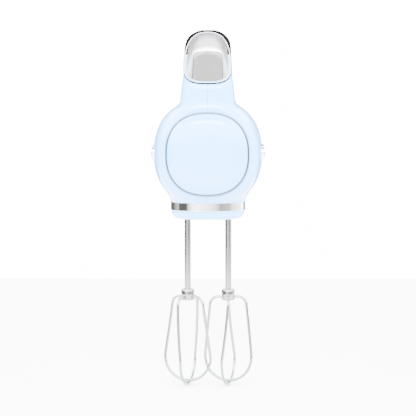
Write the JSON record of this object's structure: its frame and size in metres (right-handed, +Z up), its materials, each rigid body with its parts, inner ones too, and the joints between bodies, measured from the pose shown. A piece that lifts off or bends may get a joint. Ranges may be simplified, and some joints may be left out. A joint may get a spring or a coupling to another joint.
{
  "type": "hand mixer",
  "caption": "Retro hand mixer: round pastel-blue motor body, loop handle with chromed thumb-eject scoop and black control cover, twin wire beaters.",
  "frame": {"origin": "centre of the hand grip, in the middle of the handle's cross-section", "axes": "+Z up with the beaters hanging down, -Y out of the nose, +X to the right as seen from the nose"},
  "size_m": [0.0898, 0.1969, 0.2821],
  "materials": {
    "shell_blue": "high gloss pastel blue",
    "trim_chrome": "polished",
    "ring_satin": "satin",
    "cover_black": "high gloss",
    "display_dark": "smoked window",
    "button_satin": "satin silver",
    "heel_rubber": "matt grey",
    "beater_steel": "polished stainless",
    "steel": "ground",
    "bearing_bronze": "sintered",
    "brass": "bare",
    "copper": "enamelled wire",
    "lamination": "stacked sheet",
    "carbon": "carbon",
    "frame_plastic": "moulded nylon",
    "gear_plastic": "acetal",
    "fan_plastic": "moulded",
    "board_green": "solder resist",
    "component_dark": "moulded",
    "bracket_zinc": "die cast"
  },
  "bodies": {
    "housing": {"left_housing": "shell_blue", "right_housing": "shell_blue", "nose_cap": "shell_blue", "screw_plugs": "shell_blue", "turret_base": "shell_blue", "nose_trim_ring": "ring_satin", "turret_band": "trim_chrome", "side_trim_left": "trim_chrome", "side_trim_right": "trim_chrome", "top_cover": "cover_black", "display_window": "display_dark", "scoop_bezel": "trim_chrome", "heel_pad": "heel_rubber", "cord_inlet_bush": "heel_rubber", "housing_screws": "steel", "ejector_spring": "steel", "control_board": "board_green", "speed_potentiometer": "component_dark", "turbo_switch": "component_dark", "display_module": "component_dark", "power_board": "board_green", "power_components": "component_dark", "terminal_block": "frame_plastic", "gearbox_base": "frame_plastic", "gearbox_cover": "frame_plastic", "gearbox_screws": "steel", "lower_spindle_bushes": "bearing_bronze", "upper_spindle_bushes": "bearing_bronze", "stator_core": "lamination", "field_coils": "copper", "motor_front_bracket": "bracket_zinc", "motor_rear_bracket": "bracket_zinc", "motor_bolts": "steel", "motor_bearings": "bearing_bronze", "brush_holders": "brass", "carbon_brushes": "carbon"},
    "rotor": {"motor_shaft": "steel", "worm": "steel", "armature_core": "lamination", "armature_windings": "copper", "commutator": "copper", "cooling_fan": "fan_plastic"},
    "left_drive": {"left_worm_wheel": "gear_plastic", "left_spindle": "steel", "left_detent_clip": "steel"},
    "right_drive": {"right_worm_wheel": "gear_plastic", "right_spindle": "steel", "right_detent_clip": "steel"},
    "left_beater": {"left_beater_shaft": "beater_steel", "left_beater_hub": "beater_steel", "left_beater_wires": "beater_steel"},
    "right_beater": {"right_beater_shaft": "beater_steel", "right_beater_hub": "beater_steel", "right_beater_wires": "beater_steel"},
    "ejector": {"ejector_fork": "frame_plastic"},
    "eject_key": {"eject_button": "button_satin"},
    "speed_knob": {"speed_slider": "trim_chrome"},
    "turbo_key": {"turbo_button": "trim_chrome"}
  },
  "joints": [
    {"name": "rotor_spin", "type": "hinge", "parent": "housing", "child": "rotor", "pos_m": [0, -0.062, -0.07875], "axis": [0, 1, 0], "continuous": true},
    {"name": "left_drive_spin", "type": "hinge", "parent": "housing", "child": "left_drive", "pos_m": [-0.016, -0.062, -0.13475], "axis": [0, 0, 1], "continuous": true},
    {"name": "right_drive_spin", "type": "hinge", "parent": "housing", "child": "right_drive", "pos_m": [0.016, -0.062, -0.13475], "axis": [0, 0, 1], "continuous": true},
    {"name": "eject_press", "type": "slide", "parent": "housing", "child": "eject_key", "axis": [0, 0.9053, -0.4247], "range_m": [0, 0.005], "stiffness_N_per_m": 800, "springref_m": -0.004},
    {"name": "ejector_stroke", "type": "slide", "parent": "housing", "child": "ejector", "axis": [0, 0, -1], "range_m": [0, 0.0075], "deforming": ["ejector_spring"]},
    {"name": "left_beater_release", "type": "slide", "parent": "left_drive", "child": "left_beater", "axis": [0, 0, -1], "range_m": [0, 0.0075]},
    {"name": "right_beater_release", "type": "slide", "parent": "right_drive", "child": "right_beater", "axis": [0, 0, -1], "range_m": [0, 0.0075]},
    {"name": "speed_select", "type": "slide", "parent": "housing", "child": "speed_knob", "axis": [0, 1, 0], "range_m": [0, 0.016]},
    {"name": "turbo_press", "type": "slide", "parent": "housing", "child": "turbo_key", "axis": [0, 0, -1], "range_m": [0, 0.0016], "stiffness_N_per_m": 600, "springref_m": -0.001}
  ],
  "couplings": [
    {"joint": "left_drive_spin", "follows": "rotor_spin", "ratio": -0.05},
    {"joint": "right_drive_spin", "follows": "rotor_spin", "ratio": 0.05},
    {"joint": "ejector_stroke", "follows": "eject_press", "ratio": 1.5},
    {"joint": "left_beater_release", "follows": "eject_press", "ratio": 1.5},
    {"joint": "right_beater_release", "follows": "eject_press", "ratio": 1.5}
  ]
}
